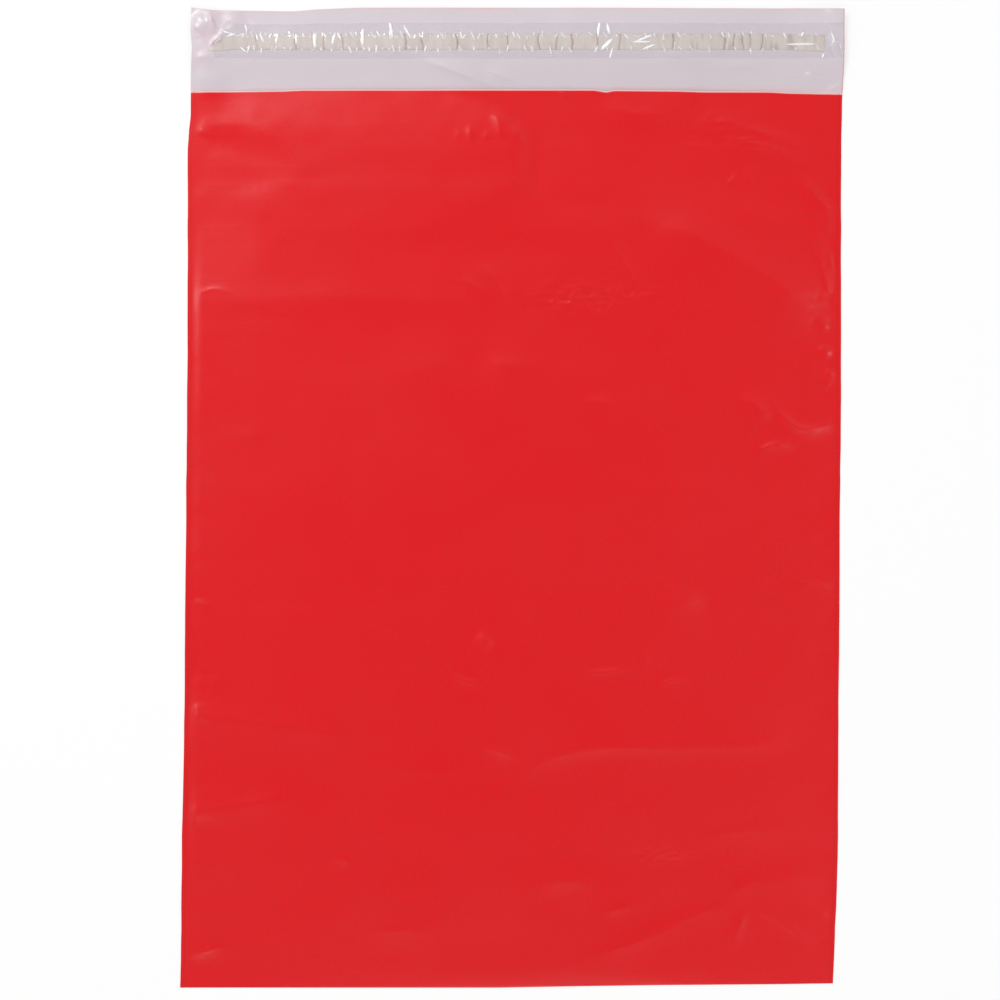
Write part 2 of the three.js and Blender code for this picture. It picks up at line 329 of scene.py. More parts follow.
frontFolds = {
    "mouthSwellEnd": ([(-8, 188), (0, 181), (4.5, 172), (6.5, 158)], 0.15, 4.0, 1.4, 0.8),
    "comb0": ([(-28.5, 181), (-27.5, 173.5)], 0.16, 1.6, 1.2, 0.6),
    "comb1": ([(-23.2, 183), (-21, 173)], 0.36, 1.6, 1.2, 0.5),
    "comb2": ([(-14.5, 180), (-13.5, 174)], 0.2, 1.4, 1.2, 0.5),
    "comb3": ([(-10.5, 188), (-7.5, 180), (-6.5, 173.5)], 0.5, 2.4, 1.4, 0.9),
    "comb4": ([(-1.5, 183), (3.5, 174)], 0.35, 2.0, 1.2, 0.6),
    "combTop": ([(-14, 187.5), (-8, 186), (-3, 183)], 0.45, 3.0, 2.0, 1.0),
    "leftNotch": ([(-160, 182), (-152, 178.5), (-146, 175)], 0.4, 2.5, 1.6, 0.5),
    "crossFold": ([(-134, 152), (-105, 153.7), (-27, 154.7), (54, 153.7)], 0.05, 0.9, 5.0, 0.4),
    "swellSide": ([(-134, 203), (-133.5, 192), (-132.5, 184), (-126, 178.5), (-116, 174)], -0.08,
                  1.6, 8.0, 0.6),
    "slopeLeft": ([(-121, 157), (-100, 138), (-74, 116), (-56, 104)], 0.2, 10.0, 8.0, 2.0),
    "bandLeft": ([(-185, 96), (-80, 97.5), (-34, 96.5), (-4, 93)], 0.5, 10.0, 8.0, 2.2),
    "zigzag": ([(-158, 98), (-147, 102), (-134, 98.5)], 0.25, 0.9, 2.2, 0.3),
    "arcFold": ([(-20, 113), (-8, 107), (-1, 98), (0.5, 90)], 0.5, 5.0, 1.2, 0.7),
    "arcFoldTwo": ([(-30, 108), (-18, 103), (-10, 95)], 0.45, 3.5, 1.5, 0.8),
    "lineLow": ([(-160, 90), (-120, 88), (-88, 86)], -0.1, 0.9, 3.0, 0.3),
    "lineLower": ([(-160, 76.6), (-135, 77.5), (-103, 77)], -0.08, 0.9, 3.0, 0.3),
    "diagonalCrease": ([(40, 134), (49, 124), (56, 115), (62, 104), (75, 88)], 0.4, 4.0, 0.9, 0.3),
    "broadSlope": ([(60, 138), (91, 125.5), (120, 110), (156, 84)], 2.2, 9.0, 14.0, 3.0),
    "broadSlopeTwo": ([(88, 151), (112, 142), (145, 123)], 0.4, 6.0, 9.0, 3.0),
    "peakLeft": ([(103, 152), (111, 161)], 0.3, 0.9, 2.5, 0.3),
    "peakRight": ([(111, 161), (118, 152.5)], 0.3, 2.5, 0.9, 0.3),
    "streakOne": ([(84, 190), (115, 180), (149, 168)], 1.2, 4.0, 6.0, 0.9),
    "streakTwo": ([(98, 177), (125, 171), (148, 164)], 0.8, 1.6, 4.0, 0.7),
    "streakThree": ([(141, 160), (148, 147), (159, 139)], 1.0, 2.5, 3.5, 0.7),
    "sideFold": ([(146, 148), (148, 128), (152, 107), (160, 88)], 0.35, 3.5, 1.1, 0.5),
    "sideFoldDip": ([(156, 141), (157.5, 122), (157.5, 101)], -0.4, 1.2, 1.0, 0.5),
    "sideLine": ([(154.5, 122), (156, 113), (159.5, 103)], 0.55, 0.6, 1.0, 0.25),
    "sideBumpOne": ([(146, 86), (151, 84.5), (155, 81)], 0.6, 1.8, 2.0, 0.6),
    "sideBumpTwo": ([(147, 75), (152, 72), (157, 68)], 0.75, 2.5, 2.5, 0.9),
    "sideBumpThree": ([(151, 62), (157, 60), (160, 57)], 0.7, 1.6, 2.2, 0.6),
    "beakOne": ([(110, 53), (120, 43), (129, 36.5)], 0.9, 3.0, 4.0, 1.2),
    "beakTwo": ([(125, 47), (137, 35), (147, 33.5), (157, 37)], 1.4, 1.5, 4.0, 0.4),
    "beakThree": ([(116, 20.5), (127.5, 25.8), (139, 22.5)], 0.8, 1.5, 2.5, 0.4),
    "highPatchOne": ([(-68, 62), (-46, 63.5), (-22, 63)], 0.45, 5.0, 8.0, 2.0),
    "highPatchTwo": ([(-20, 63), (-2, 64.5), (16, 60)], 0.8, 5.5, 9.0, 2.0),
    "highPatchThree": ([(33, 47.5), (43, 46.5), (53, 44.5)], 0.45, 2.6, 5.0, 0.8),
    "foldMiddle": ([(34, -40.5), (72, -41.5), (100, -43)], -0.3, 2.5, 1.0, 0.3),
    "patchMiddle": ([(68, -50), (82, -51.5), (97, -49.5)], 0.9, 4.5, 7.0, 1.2),
    "foldRight": ([(134, -42), (147, -42.2), (159, -43.4)], 0.45, 0.7, 2.0, 0.3),
    "packFold": ([(-136, -56.4), (-60, -55.2), (0, -54.6), (94, -54.5)], 0.08, 0.5, 1.6, 0.2),
    "markOne": ([(-18, -66), (-13, -70.5), (-8, -75)], 0.8, 2.5, 4.0, 1.0),
    "markTwo": ([(-35, -84.5), (-23, -90), (-9, -93)], 0.6, 1.3, 2.6, 0.5),
    "markThree": ([(28, -87), (45, -85.6), (64, -84)], 0.5, 1.0, 2.2, 0.4),
    "markThreeEnd": ([(62, -87), (65, -80), (66, -75)], 0.2, 1.2, 1.2, 0.4),
    "markFour": ([(69, -93.5), (78, -90), (89, -89.4)], 0.4, 0.8, 1.4, 0.3),
    "bandMiddle": ([(-68, -133), (-40, -134.5), (-8, -134)], 0.4, 3.5, 4.5, 1.5),
    "bandCentre": ([(12, -10), (30, -12.5), (46, -12)], 0.3, 2.5, 3.5, 1.0),
    "markFive": ([(-17, -120), (-5, -125), (7, -129.5)], 0.6, 1.6, 2.6, 0.6),
    "longFold": ([(-1, -144), (8, -135), (18, -128.5), (44, -123), (92, -123), (150, -120)], 0.8,
                 8.0, 4.0, 1.0),
    "leftBand": ([(-180, -105), (-116, -111.5), (-70, -119)], 1.2, 8.0, 14.0, 1.0),
    "leftWedge": ([(-185, -157), (-135, -152), (-92, -143.5)], 1.1, 7.5, 14.0, 0.9),
    "cornerLowLeft": ([(-158, -224), (-149, -222.5), (-137, -219)], 0.5, 2.4, 2.4, 0.6),
    "bandLow": ([(-78, -214), (-50, -212), (-24, -209.5)], 0.45, 3.6, 7.0, 1.0),
    "cornerRise": ([(30, -229), (65, -217.5), (94, -204), (119, -199)], 0.6, 2.0, 9.0, 0.8),
    "cornerTop": ([(100, -208), (114, -191), (132, -188), (159, -190.5)], 0.7, 2.6, 10.0, 1.0),
    "cornerInner": ([(117, -199), (138, -212), (152, -226)], 0.35, 2.5, 2.0, 0.8),
    "cornerInnerTwo": ([(118, -199), (112, -214), (110, -226)], 0.45, 2.0, 3.0, 0.8),
    "oval": ([(12, -190.5), (29.6, -187.6), (48, -190)], 0.7, 4.5, 4.0, 1.6),
    "lowMark": ([(43, -206), (54, -202), (66, -199.5)], 0.4, 2.0, 2.4, 0.8),
    "lowRight": ([(90, -167), (117, -163.5), (143, -164.7)], 0.5, 1.2, 3.0, 0.5),
    "spotLeft": ([(-87, -176.5), (-81.5, -178.2), (-76, -179)], 0.4, 1.6, 2.0, 0.6),
    "leftMiddle": ([(-149, 26), (-132, 29.5), (-116, 30.5)], 0.25, 3.5, 5.0, 1.5),
    "leftLow": ([(-160, -50), (-153, -52), (-145, -55)], 0.5, 1.3, 2.2, 0.4),
    "lipTuckOne": ([(20.5, 200.5), (24, 197), (26, 194)], 0.35, 0.7, 1.0, 0.25),
    "lipTuckTwo": ([(82, 200.5), (88, 198.6), (94, 200.5)], 0.5, 0.8, 1.6, 0.3),
    "lipCornerLeft": ([(-160, 196), (-153, 199), (-146, 201)], 0.2, 1.6, 2.0, 0.5),
    "topRight": ([(40, 192), (60, 188), (86, 186)], 0.9, 4.0, 5.0, 1.5),
}
frontCrumples = [
    # centre, radii, height, grain, seed
    ((38, 98), (30, 9), 0.3, (7, 4), 31),
    ((128, 36), (20, 16), 0.08, (9, 6), 33),
    ((148, 86), (9, 32), 0.13, (7, 6), 35),
    ((112, 178), (42, 13), 0.26, (15, 6), 37),
    ((82, -2), (12, 24), 0.10, (8, 8), 49),
    ((76, -176), (14, 5), 0.3, (6, 4), 39),
    ((55, -50), (60, 9), 0.06, (18, 5), 41),
    ((-147, 172), (12, 14), 0.09, (11, 7), 43),
    ((125, -208), (30, 20), 0.14, (22, 16), 45),
    ((-150, -110), (10, 60), 0.16, (12, 6), 47),
]


# Left of the middle the panel climbs from the lip, then sinks back slowly, well past a line across it.
mouthSwell = {
    "slope": 0.066,
    "steepness": ((-130, -60, -10), (1.1, 1.0, 1.15)),  # x, and its share of the slope there
    "climb": 24.0,           # how far from the lip it climbs
    "bend": ((-125, -85), (1.2, 3.2)),  # x, and how softly it stops climbing there
    "line": 153.5,           # y of the line, below which both ends grow softer
    "softer": 2,             # how fast they do
    "fadeBelow": 85.0,       # how slowly it sinks
    "fadeShape": 1.4,
    "leftSide": [(150, -116), (167, -121), (175, -130), (183, -143), (202, -147)],  # y and x
    "leftSoft": 16.0,
    "rightEnd": 5.0,
    "rightSoft": 7.0,
    "rightCorner": (173, 15),  # above this y its right end turns in, over this height
    "rightTurn": 14,         # how far it turns in
}


def swellHeight(x, y):
    line = mouthSwell["line"]
    bend = np.interp(x, *mouthSwell["bend"])
    belowLip = mouthY + 1 - y
    slope = mouthSwell["slope"] * np.interp(x, *mouthSwell["steepness"])
    past = np.clip((belowLip - mouthSwell["climb"]) / bend, -30, 30)
    climbed = slope * (belowLip - bend * np.log1p(np.exp(past)))
    top = mouthY + 1 - mouthSwell["climb"]
    sunk = np.exp(-(np.maximum(top - y, 0) / mouthSwell["fadeBelow"]) ** mouthSwell["fadeShape"])
    under = mouthSwell["softer"] * np.clip(line - y, 0, 60)
    leftSide = np.interp(np.maximum(y, line), *zip(*mouthSwell["leftSide"]))
    leftSoft = mouthSwell["leftSoft"] + under
    cornerY, cornerHeight = mouthSwell["rightCorner"]
    turned = np.clip((y - cornerY) / cornerHeight, 0, 2) ** 2
    rightEnd = mouthSwell["rightEnd"] - mouthSwell["rightTurn"] * turned
    rightSoft = mouthSwell["rightSoft"] + under
    sides = softStep(-leftSoft, leftSoft, x - leftSide)
    sides = sides * softStep(rightEnd + rightSoft, rightEnd - rightSoft, x)
    return climbed * sunk * sides


pocket = {
    # how the air deepens from each edge: shares and the runs they take
    "fromFold": [(0.4, 9), (0.6, 150)],
    "fromMouth": [(1, 150)],
    "fromWeld": [(0.12, 20), (0.88, 150)],
    "weldEase": 5,           # beside the weld there is no relief
    # height, size across, size along, seed
    "swells": [(0.16, 95, 42, 21), (0.10, 44, 17, 22)],  # as shares of the air's depth
    "ripples": [(0.16, 130, 13, 23), (0.05, 24, 10, 24), (0.06, 12, 8, 27)],
    # puckers along the weld: share, reach, size across, size along, seed
    "sidePuckers": [(1, 9, 60, 4.6, 25), (0.7, 20, 80, 11, 26)],
    "leftPuckers": (0.10, 0.18),  # their height at the left, and how much it grows towards the fold
    "leftGrowth": (60, -90),
    "rightPuckers": 0.30,
}


def bulge(x, y):
    # how far the upper film's middle lies above the lower one's
    fromWeld = bag["halfWidth"] - bag["weldWidth"] - np.abs(x)
    fromFold = y - bag["foldY"]
    foldGap, mouthGap, airDepth = bag["foldGap"], bag["mouthGap"], bag["airDepth"]
    foldSide = foldGap + (airDepth - foldGap) * rises(fromFold, pocket["fromFold"])
    mouthSide = mouthGap + (airDepth - mouthGap) * rises(mouthY - y, pocket["fromMouth"])
    pillow = np.minimum(foldSide, mouthSide) * rises(fromWeld, pocket["fromWeld"])
    z = pillow * sum((height * hills(x, y, *swell) for height, *swell in pocket["swells"]), 1)
    inside = softStep(0, pocket["weldEase"], fromWeld)
    for height, *ripple in pocket["ripples"]:
        z = z + height * hills(x, y, *ripple) * inside
    sidePuckers = sum(share * np.exp(-fromWeld / reach) * hills(x, y, *pucker)
                      for share, reach, *pucker in pocket["sidePuckers"])
    leftSize = changing(pocket["leftPuckers"], softStep(*pocket["leftGrowth"], y))
    z = z + np.where(x < 0, leftSize, pocket["rightPuckers"]) * sidePuckers * inside
    wrinkles = swellHeight(x, y)
    for fold in frontFolds.values():
        wrinkles = wrinkles + crease(x, y, *fold)
    for patch in frontCrumples:
        wrinkles = wrinkles + crumple(x, y, *patch)
    z = z + wrinkles * inside * softStep(-1, 3, fromFold)
    closed = bag["gauge"] + bag["touching"]
    return closed + np.maximum(z, 0)


# The film is one long strip: down the back panel from the flap's edge, round the fold and up the front.
# Its lattice has base cells of about 5 mm, and a narrow one along each cut edge. Each pair is a base row
# and the way along the strip there, or a base column and the place across.
strip = {
    "fineness": 8,           # finest cells to a base cell's side
    "foldWay": (479.6, 480.6),
    "rowStops": [(0, 0.0), (1, 0.2), (9, 40.0), (47, 476.0), (48, 479.4), (49, 480.8), (50, 484.0),
                 (137, 920.2), (138, 920.4)],
    "columnStops": [(0, -160.0), (1, -159.8), (65, 159.8), (66, 160.0)],
    "mostCells": 35000,
    "hiddenFrom": 44,        # way along the strip from which the back panel lies under the front one
    "hiddenWeight": 0.3,     # how much its bends count when the fine cells are given out
    "flapEnd": 42,
    "flapWeight": 1.3,
    "corner": (-136, 28),    # the crumpled corner: left of this x and up to this way along
    "cornerWeight": 40.0,
}


def stripPlace(x, way):
    # where a point of the film's middle lies: x across, way along the strip
    startFold, endFold = strip["foldWay"]
    flapEdge, foldY = bag["flapEdgeY"], bag["foldY"]
    wholeWay = strip["rowStops"][-1][1]
    radius = bulge(x, x * 0 + foldY) / 2
    down = np.clip(way / startFold, 0, 1)
    backY = flapEdge - down * (flapEdge - foldY - radius)
    up = np.clip((way - endFold) / (wholeWay - endFold), 0, 1)
    mouth = mouthY + edgeAt("mouthEdge", x)
    frontY = foldY + radius + up * (mouth - foldY - radius)
    backZ = backHeight(x, backY)
    frontZ = backHeight(x, frontY) + bulge(x, frontY)
    turn = np.pi * np.clip((way - startFold) / (endFold - startFold), 0, 1)
    foldZ = backHeight(x, foldY + radius)
    onBack, onFront = way <= startFold, way >= endFold
    y = np.where(onBack, backY, np.where(onFront, frontY, foldY + radius * (1 - np.sin(turn))))
    z = np.where(onBack, backZ, np.where(onFront, frontZ, foldZ + radius * (1 - np.cos(turn))))
    newX, newY = onOutline(x, y)
    return np.stack([newX, newY, z], axis=-1)


def splitCells(place, weight, fineness, mostCells):
    # chooses where the lattice is fine: cells split where the film bends, and neighbours differ by one level
    levels = int(math.log2(fineness))
    columns = (place.shape[0] - 1) // fineness
    rows = (place.shape[1] - 1) // fineness
    bend = []
    for level in range(levels):
        k = fineness >> level
        h = k // 2
        corner = place[::k, ::k]
        a, b, c, d = corner[:-1, :-1], corner[1:, :-1], corner[1:, 1:], corner[:-1, 1:]
        off = [np.abs(place[h::k, h::k] - (a + b + c + d) / 4).max(-1),
               np.abs(place[h::k, ::k][:, :-1] - (a + b) / 2).max(-1),
               np.abs(place[::k, h::k][:-1] - (a + d) / 2).max(-1)]
        bend.append(np.max(off, axis=0) * weight[h::k, h::k])

    def leavesFor(limit):
        split = []
        alive = np.ones((columns, rows), bool)
        for level in range(levels):
            split.append(alive & (bend[level] > limit))
            alive = split[-1].repeat(2, 0).repeat(2, 1)
        for level in range(levels - 1, 0, -1):
            wide = split[level].copy()
            wide[1:] |= split[level][:-1]
            wide[:-1] |= split[level][1:]
            wide[:, 1:] |= split[level][:, :-1]
            wide[:, :-1] |= split[level][:, 1:]
            n, m = split[level - 1].shape
            split[level - 1] |= wide.reshape(n, 2, m, 2).any(axis=(1, 3))
        exists = [np.ones((columns, rows), bool)]
        for level in range(levels):
            exists.append(split[level].repeat(2, 0).repeat(2, 1))
        split.append(np.zeros(exists[-1].shape, bool))
        return exists, split

    low, high = 0.0, float(max(b.max() for b in bend))
    for _ in range(18):
        limit = (low + high) / 2
        exists, split = leavesFor(limit)
        count = sum(int((e & ~s).sum()) for e, s in zip(exists, split))
        if count > mostCells:
            low = limit
        else:
            high = limit
    return leavesFor(high)


def cellTriangles(place, exists, split, fineness):
    # two triangles for a plain cell, split along its more level diagonal, and a fan from the middle for a
    # cell with finer neighbours. Corners are counted on the fine lattice.
    triangles = []
    for level, (there, cut) in enumerate(zip(exists, split)):
        k = fineness >> level
        h = k // 2
        padded = np.pad(cut, 1)
        finer = padded[1:-1, :-2] | padded[2:, 1:-1] | padded[1:-1, 2:] | padded[:-2, 1:-1]
        leaf = there & ~cut
        i, j = np.nonzero(leaf & ~finer)
        x, y = i * k, j * k
        a, b, c, d = (x, y), (x + k, y), (x + k, y + k), (x, y + k)
        z = place[..., 2]
        level13 = np.abs(z[a] - z[c]) <= np.abs(z[b] - z[d])
        for first, second, third, where in ((a, b, c, level13), (a, c, d, level13), (a, b, d, ~level13),
                                            (b, c, d, ~level13)):
            corners = np.stack([np.stack(q, -1)[where] for q in (first, second, third)], axis=1)
            triangles.append(corners)
        fans = []
        for i, j in np.argwhere(leaf & finer):
            x, y = i * k, j * k
            ring = [(x, y)]
            if padded[i + 1, j]:
                ring.append((x + h, y))
            ring.append((x + k, y))
            if padded[i + 2, j + 1]:
                ring.append((x + k, y + h))
            ring.append((x + k, y + k))
            if padded[i + 1, j + 2]:
                ring.append((x + h, y + k))
            ring.append((x, y + k))
            if padded[i, j + 1]:
                ring.append((x, y + h))
            fans += [(p, q, (x + h, y + h)) for p, q in zip(ring, ring[1:] + ring[:1])]
        if fans:
            triangles.append(np.array(fans))
    return np.concatenate(triangles)


def closedMesh(name, upper, lower, triangles):
    # a closed piece of one skin over the other, both cut into the same triangles, and a rim, in mm
    count = len(upper)
    edges = np.concatenate([triangles[:, [0, 1]], triangles[:, [1, 2]], triangles[:, [2, 0]]])
    key = edges[:, 0].astype(np.int64) * count + edges[:, 1]
    back = edges[:, 1].astype(np.int64) * count + edges[:, 0]
    a, b = edges[~np.isin(back, key)].T
    rim = np.concatenate([np.stack([b, a, a + count], 1), np.stack([b, a + count, b + count], 1)])
    faces = np.concatenate([triangles, triangles[:, ::-1] + count, rim])
    mesh = bpy.data.meshes.new(name)
    mesh.from_pydata((np.concatenate([upper, lower]) * mm).tolist(), [], faces.tolist())
    mesh.update()
    skins = 2 * len(triangles)
    mesh.polygons.foreach_set("use_smooth", [True] * skins + [False] * len(rim))
    piece = bpy.data.objects.new(name, mesh)
    scene.collection.objects.link(piece)
    return piece, len(triangles), len(rim)


def addMask(piece, name, values):
    # a value for each point, the same on both skins, for the piece's material
    layer = piece.data.attributes.new(name, "FLOAT", "POINT")
    layer.data.foreach_set("value", np.concatenate([values, values]).astype(np.float32))


def thickSheet(name, points, triangles, gauge, flat, masks):
    # a film of even gauge about its middle, with the place on the film as it was cut, in metres, as UV map
    first, second, third = (points[triangles[:, corner]] for corner in range(3))
    side = np.cross(second - first, third - first)
    normals = np.zeros(points.shape)
    for corner in range(3):
        for axis in range(3):
            normals[:, axis] += np.bincount(triangles[:, corner], side[:, axis], len(points))
    normals /= np.linalg.norm(normals, axis=1)[:, None]
    half = normals * gauge / 2
    piece, skin, rim = closedMesh(name, points + half, points - half, triangles)
    mesh = piece.data
    for key, values in masks.items():
        addMask(piece, key, values)
    corners = np.zeros(len(mesh.loops), dtype=np.int32)
    mesh.loops.foreach_get("vertex_index", corners)
    places = flat[corners % len(points)].astype(np.float32)
    mesh.uv_layers.new(name="strip").data.foreach_set("uv", places.ravel())
    return piece, skin, rim


# where the crumpled corner is stretched so hard that the red shows through the pale side
stretched = {
    "spots": [(0.18, (-149.5, 232), (3.2, 6.5)), (0.16, (-155.5, 218), (4.5, 8)),
              (0.2, (-135.5, 236), (5, 3.2)), (0.2, (-154, 227), (5, 3))],  # share, middle, radii
    "patchy": (0.85, 0.35),
    "hook": ([(-151.6, 221.6), (-148.4, 222.4), (-145.6, 224.2), (-145.2, 227.4)], 1.5, 0.36, 0.36, 0.25),
}


def showThrough(x, way):
    y = bag["flapEdgeY"] - way
    tint = sum(share * spot(x, y, *where) for share, *where in stretched["spots"])
    tint = tint * changing(stretched["patchy"], hills(x, y, 4, 4, 54))
    hook = crease(x, y, *stretched["hook"])
    return np.clip(tint, 0, 1), np.clip(hook, 0, 1)


def latticePlaces(stops, fine):
    numbers = np.arange(stops[-1][0] * fine + 1) / fine
    return np.interp(numbers, [s[0] for s in stops], [s[1] for s in stops])


def makeFilm():
    fine = strip["fineness"]
    across = latticePlaces(strip["columnStops"], fine)
    ways = latticePlaces(strip["rowStops"], fine)
    x, way = np.meshgrid(across, ways, indexing="ij")
    place = stripPlace(x, way)
    hidden = (way > strip["hiddenFrom"]) & (way < strip["foldWay"][0] - 1)
    weight = np.where(way < strip["flapEnd"], strip["flapWeight"], 1.0)
    weight = np.where(hidden, strip["hiddenWeight"], weight)
    cornerX, cornerWay = strip["corner"]
    weight = np.where((x < cornerX) & (way < cornerWay), strip["cornerWeight"], weight)
    exists, split = splitCells(place, weight, fine, strip["mostCells"])
    lattice = cellTriangles(place, exists, split, fine)
    rowCount = place.shape[1]
    numbers, triangles = np.unique(lattice[..., 0] * rowCount + lattice[..., 1], return_inverse=True)
    triangles = triangles.reshape(-1, 3)
    index = np.stack([numbers // rowCount, numbers % rowCount], axis=-1)
    points = place[index[:, 0], index[:, 1]]
    atX, atWay = x[index[:, 0], index[:, 1]], way[index[:, 0], index[:, 1]]
    tint, hook = showThrough(atX, atWay)
    flat = np.stack([atX + bag["halfWidth"], atWay], axis=-1) * mm
    piece, skin, rim = thickSheet("folded_film", points, triangles, bag["gauge"], flat,
                                  {"tint": tint, "hook": hook})
    slots = [0] * skin + [1] * skin + [1] * rim
    piece.data.materials.append(None)
    piece.data.materials.append(None)
    piece.data.polygons.foreach_set("material_index", slots)
    return piece


# The glue and the liner that covers it

glue = {
    "left": glueLow[0],
    "right": glueHigh[0] + 1.8,
    "bottom": glueLow[1] - 0.8,
    "top": glueHigh[1] - 0.3,
    "thickness": 0.15,
    "slant": 7.0,            # how much further its lower edge reaches at the left, over slantRun
    "slantRun": 20,
    "ragged": 0.30,          # its two ends
    "wavy": 0.16,            # its long edges
    "leftDip": (-0.8, -138, -146),  # how far an end dips, and between which x
    "rightDip": (-0.9, 128, 146),
    "round": (0.2, 1.3),     # height left at the rim, and how far in it is full
    "furrowShare": 0.8,      # of the liner's furrows that the glue follows
    "cell": 0.55,
}
liner = {
    "bottom": linerLow[1] + 0.3,
    "top": linerHigh[1] - 0.2,
    "gauge": 0.05,
    "clearance": 0.02,       # over the film
    "loose": 0.10,           # how far it stands off beside the glue
    "sides": (0.6, 0.1),     # how far in from the bag's left and right sides it starts and ends
    "leftEnd": [(0, 11), (0.45, 9), (0.62, 12), (0.75, 16), (1, 20)],  # share of the width, how far short
    "ragged": 0.5,
    "wavy": 0.12,
    "fullPucker": 0.11,      # a pucker of this height is quite white with painted highlight
    "cell": 0.365,
}
# small puckers stand along the glue's two edges: y, how far they scatter, and their spacing
smallPuckers = {
    "seed": 7,
    "rows": [(glue["top"] - 0.7, 0.48, 1.0), (glue["bottom"] + 0.4, 0.36, 1.7)],
    "crowd": ((-60, 20), (1.0, 0.2)),  # x, and how crowded they are there
    "spacing": (1.0, 3.6),
    "length": (1.2, 3.6),
    "height": (0.05, 0.18),
    "lean": (-0.12, 0.38),
    "width": (0.24, 0.36),
}
# place of its middle, length, lean, height, width: the largest puckers, where the liner has let go
bigPuckers = [
    (40.2, 231.2, 8.0, 0.15, 0.3, 0.35),
    (44.6, 229.8, 4.0, -0.25, 0.28, 0.42),
    (43.6, 222.0, 5.5, 0.8, 0.33, 0.56),
    (45.6, 217.0, 5.0, 0.25, 0.22, 0.35),
    (62.0, 225.0, 6.0, 1.2, 0.28, 0.35),
    (60.5, 223.2, 6.5, 1.57, 0.25, 0.32),
    (64.0, 220.6, 5.0, 1.2, 0.25, 0.35),
    (-54.0, 228.3, 6.0, -0.5, 0.19, 0.35),
    (-62.0, 229.6, 5.5, -0.2, 0.25, 0.49),
    (-90.2, 224.8, 5.0, 0.35, 0.19, 0.35),
    (-99.6, 224.0, 6.0, 0.05, 0.19, 0.56),
    (-118.0, 225.0, 4.0, 0.3, 0.19, 0.32),
    (-108.6, 224.5, 4.0, 0.1, 0.17, 0.32),
    (-125.4, 225.4, 4.0, -0.3, 0.17, 0.32),
    (-76.0, 225.5, 6.5, 0.1, 0.25, 0.49),
    (139.0, 221.9, 11.0, 1.57, 0.22, 0.32),
    (149.6, 216.2, 1.8, 0.2, 0.3, 0.32),
    (161.0, 217.2, 1.2, 1.3, 0.3, 0.32),
    (161.0, 215.4, 1.0, 0.3, 0.3, 0.32),
    (139.7, 226.9, 2.0, 0.5, 0.25, 0.32),
    (154.5, 224.9, 3.5, -0.3, 0.2, 0.32),
    (-133.0, 230.5, 3.5, -0.2, 0.17, 0.35),
    (-141.5, 227.6, 5.1, -1.28, 0.28, 0.32),
    (-140.5, 226.4, 3.1, 1.25, 0.25, 0.32),
]
# across the glue there are thin furrows: place, depth
furrows = [(-14.5, 0.16), (-5.1, 0.14), (10.5, 0.12), (19.0, 0.11), (26.6, 0.17), (39.0, 0.12), (50.2, 0.12),
           (76.3, 0.15), (-29.7, 0.16), (-46.8, 0.14), (-55.0, 0.16), (-86.0, 0.10), (-95.0, 0.10),
           (-109.0, 0.10), (-128.0, 0.08), (101.5, 0.15), (106.0, 0.14), (110.5, 0.12), (114.0, 0.12),
           (120.0, 0.10)]


def puckerList():
    rng = np.random.RandomState(smallPuckers["seed"])
    found = list(bigPuckers)
    for edge, scatter, gap in smallPuckers["rows"]:
        x = glue["left"] + 8
        while x < glue["right"] - 3:
            crowd = np.interp(x, *smallPuckers["crowd"])
            x += rng.uniform(*smallPuckers["spacing"]) * gap / (0.35 + 0.65 * crowd)
            length = rng.uniform(*smallPuckers["length"])
            height = rng.uniform(*smallPuckers["height"]) * (0.6 + 0.4 * crowd)
            y = edge + rng.normal(0, scatter)
            lean = rng.normal(*smallPuckers["lean"])
            found.append((x, y, length, lean, height, rng.uniform(*smallPuckers["width"])))
    return found


puckers = puckerList()


def puckerHeight(x, y):
    z = np.zeros(x.shape)
    for cx, cy, length, lean, height, width in puckers:
        near = np.hypot(x - cx, y - cy) < length / 2 + 4 * width + 1
        if not near.any():
            continue
        dx, dy = x[near] - cx, y[near] - cy
        acrossIt = dx * math.cos(lean) - dy * math.sin(lean)
        alongIt = dx * math.sin(lean) + dy * math.cos(lean)
        body = np.exp(-(acrossIt / width) ** 2) * np.exp(-(np.abs(alongIt) / (length * 0.55)) ** 3)
        z[near] = np.maximum(z[near], height * body)
    return z


furrowShape = {
    "width": 0.4,
    "lip": (0.6, 0.9, 0.5),  # the raised side: share of the depth, how far to the right, width
    "bend": 0.35,
    "ribs": [(0.012, 0.9, 12, 61), (0.016, 2.4, 9, 62)],  # height, size across, size along, seed
    "rightRibs": (1, 1.8),   # the ribs grow towards the right, between these x
    "rightFrom": (50, 110),
}


def withinGlue(y, outside, inside):
    # 1 on the glue and 0 beyond it, soft from this far outside its long edges to this far inside
    lower = softStep(glue["bottom"] - outside, glue["bottom"] + inside, y)
    return lower * softStep(glue["top"] + outside, glue["top"] - inside, y)


def furrowDepth(x, y):
    z = np.zeros(x.shape)
    share, shift, width = furrowShape["lip"]
    for place, depth in furrows:
        off = x - (place + furrowShape["bend"] * np.sin((y - 223) * 0.6 + place))
        lip = share * np.exp(-((off - shift) / width) ** 2)
        z = z + depth * (np.exp(-(off / furrowShape["width"]) ** 2) - lip)
    ribs = sum(height * hills(x, y, *rib) for height, *rib in furrowShape["ribs"])
    ribs = ribs * changing(furrowShape["rightRibs"], softStep(*furrowShape["rightFrom"], x))
    return (ribs - z) * withinGlue(y, 1.5, 1)


def filmTop(x, y):
    return backHeight(x, y) + bag["gauge"] / 2


def glueTop(x, y):
    return filmTop(x, y) + glue["thickness"] + furrowDepth(x, y) * glue["furrowShare"]


